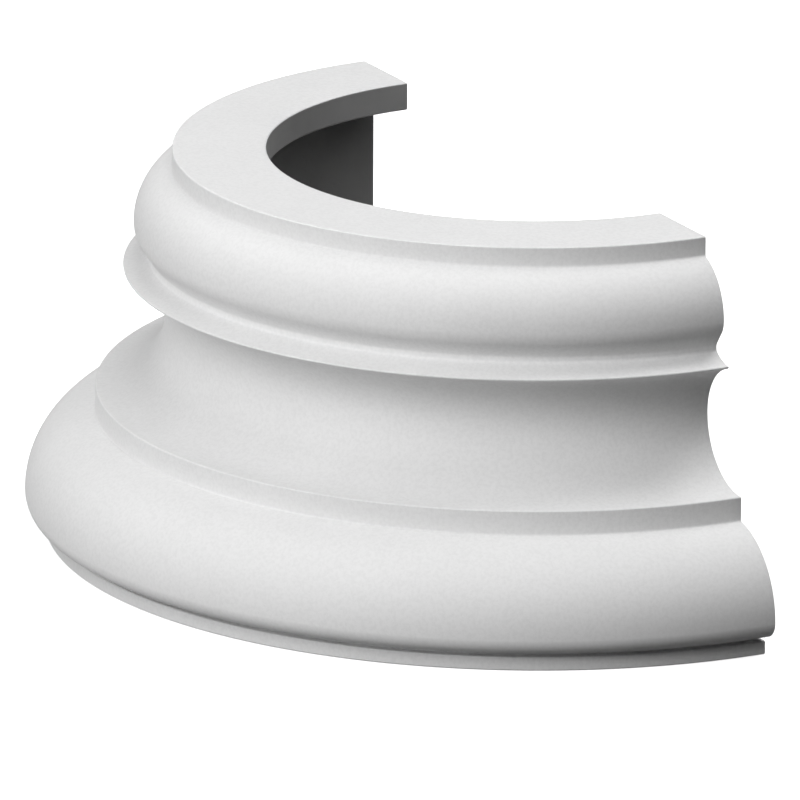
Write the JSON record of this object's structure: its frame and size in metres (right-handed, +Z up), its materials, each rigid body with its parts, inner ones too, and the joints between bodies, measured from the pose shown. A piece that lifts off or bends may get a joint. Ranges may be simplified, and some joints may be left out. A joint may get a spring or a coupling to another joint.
{
  "type": "half column base",
  "caption": "Half-round moulded base ring with two rounded tori around a hollow curve, a flat open back and a top plate, closing around the foot of a column shaft.",
  "frame": {"origin": "centre of the part's footprint box on its underside; the column's axis stands 105.85 mm behind it, in the plane of the flat back", "axes": "+Z up along the column, +X along the flat back, the round side faces -Y and the open back faces +Y"},
  "size_m": [0.4234, 0.2118, 0.1637],
  "materials": {
    "primed_white": "matt white primer on moulded rigid foam"
  },
  "bodies": {
    "root": {"half_column_base": "primed_white"}
  },
  "joints": []
}
